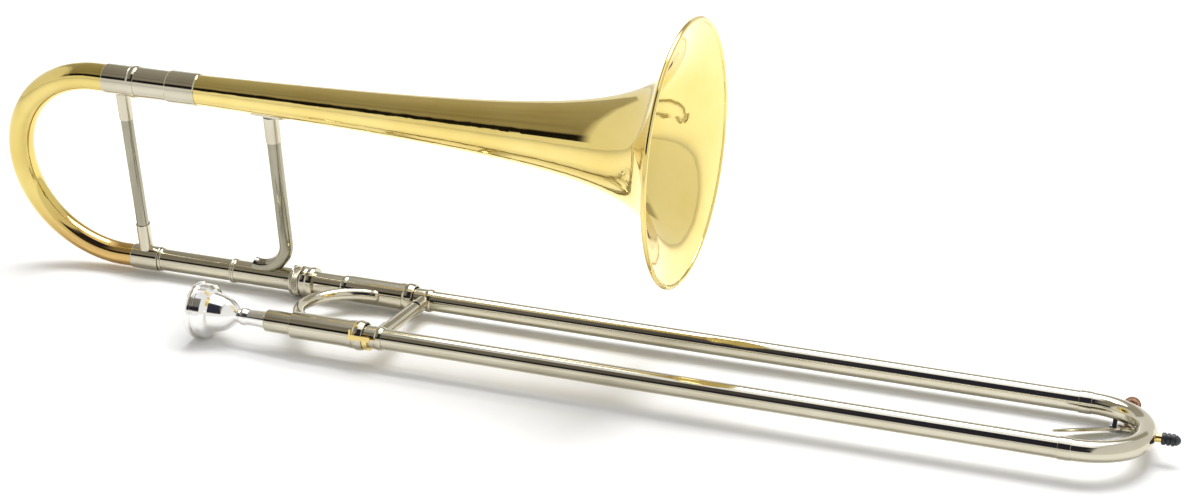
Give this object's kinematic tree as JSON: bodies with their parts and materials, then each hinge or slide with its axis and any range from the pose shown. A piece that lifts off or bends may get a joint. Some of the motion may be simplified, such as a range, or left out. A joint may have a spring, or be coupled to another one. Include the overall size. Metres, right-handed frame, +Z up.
{
  "type": "alto trombone",
  "caption": "Small alto trombone with a straight telescoping hand slide, a bell section with a tuning slide, and a mouthpiece.",
  "frame": {"origin": "bottom centre of the bounding box, on the floor the instrument rests on, slide closed", "axes": "+X along the slide towards the bow, the way the bell faces; +Z up; +Y away from the mouthpiece side, towards the bell side"},
  "size_m": [0.7798, 0.1648, 0.2252],
  "materials": {
    "lacquered_brass": "polished yellow brass under clear lacquer",
    "polished_brass": "polished bare brass",
    "nickel_silver": "polished nickel silver, slightly warm",
    "chromed_tube": "hard bright plating",
    "silver_plate": "bright silver plate",
    "steel": "plain steel",
    "black_rubber": "matte moulded",
    "cork": "cut cork"
  },
  "bodies": {
    "inner_slide": {"inner_tube_near": "chromed_tube", "inner_tube_far": "chromed_tube", "cork_barrel_near": "nickel_silver", "cork_barrel_far": "nickel_silver", "barrel_cushion_near": "cork", "barrel_cushion_far": "cork", "mouthpiece_receiver": "nickel_silver", "leadpipe": "polished_brass", "inner_slide_brace": "nickel_silver", "bell_tenon": "nickel_silver", "tenon_ring": "nickel_silver", "lock_stud": "polished_brass"},
    "mouthpiece": {"mouthpiece": "silver_plate"},
    "outer_slide": {"outer_tube_near": "nickel_silver", "outer_tube_far": "nickel_silver", "slide_sleeve_near": "nickel_silver", "slide_sleeve_far": "nickel_silver", "bow_ferrule_near": "nickel_silver", "bow_ferrule_far": "nickel_silver", "hand_brace": "nickel_silver", "hand_brace_socket_near": "nickel_silver", "hand_brace_socket_far": "nickel_silver", "slide_bow": "nickel_silver", "water_nipple": "nickel_silver", "bumper_stem": "polished_brass", "bumper_rubber": "black_rubber", "water_key_saddle": "nickel_silver", "water_key_pin": "steel", "water_key_spring": "steel"},
    "water_key": {"water_key_lever": "nickel_silver", "water_key_cork": "cork"},
    "slide_lock": {"slide_lock": "polished_brass"},
    "lock_nut": {"lock_nut": "nickel_silver"},
    "bell_section": {"neckpipe": "nickel_silver", "neckpipe_collar": "nickel_silver", "lower_sleeve": "nickel_silver", "lower_sleeve_ring": "nickel_silver", "neck_ring": "nickel_silver", "upper_sleeve": "nickel_silver", "upper_sleeve_ring": "nickel_silver", "bell_ferrule": "nickel_silver", "bell": "lacquered_brass", "bell_rim_wire": "lacquered_brass", "bell_brace_flange": "nickel_silver", "bell_brace": "nickel_silver", "bell_brace_socket": "nickel_silver"},
    "tuning_slide": {"tuning_leg_lower": "nickel_silver", "tuning_leg_upper": "nickel_silver", "crook_ferrule_lower": "nickel_silver", "crook_ferrule_upper": "nickel_silver", "tuning_crook": "lacquered_brass", "tuning_brace": "nickel_silver", "tuning_brace_socket_lower": "nickel_silver", "tuning_brace_socket_upper": "nickel_silver"}
  },
  "joints": [
    {"name": "slide_travel", "type": "slide", "parent": "inner_slide", "child": "outer_slide", "axis": [1, 0, 0], "range_m": [0, 0.36]},
    {"name": "bell_swivel", "type": "hinge", "parent": "inner_slide", "child": "bell_section", "pos_m": [-0.17286, 0.01871, 0.0106], "axis": [1, 0, 0], "range_deg": [-230, 30]},
    {"name": "nut_turn", "type": "hinge", "parent": "bell_section", "child": "lock_nut", "pos_m": [-0.17286, 0.01871, 0.0106], "axis": [1, 0, 0], "continuous": true},
    {"name": "tuning_pull", "type": "slide", "parent": "bell_section", "child": "tuning_slide", "axis": [-1, 0, 0], "range_m": [0, 0.035]},
    {"name": "mouthpiece_pull", "type": "slide", "parent": "inner_slide", "child": "mouthpiece", "axis": [-1, 0, 0], "range_m": [0, 0.03]},
    {"name": "lock_turn", "type": "hinge", "parent": "outer_slide", "child": "slide_lock", "pos_m": [-0.10006, -0.05921, 0.0183], "axis": [-1, 0, 0], "range_deg": [0, 30]},
    {"name": "key_swing", "type": "hinge", "parent": "outer_slide", "child": "water_key", "pos_m": [0.35614, 0.00784, 0.00233], "axis": [-1, 0, 0], "range_deg": [0, 15], "stiffness_Nm_per_rad": 0.02, "springref_deg": -20.05, "deforming": ["water_key_spring"]}
  ]
}
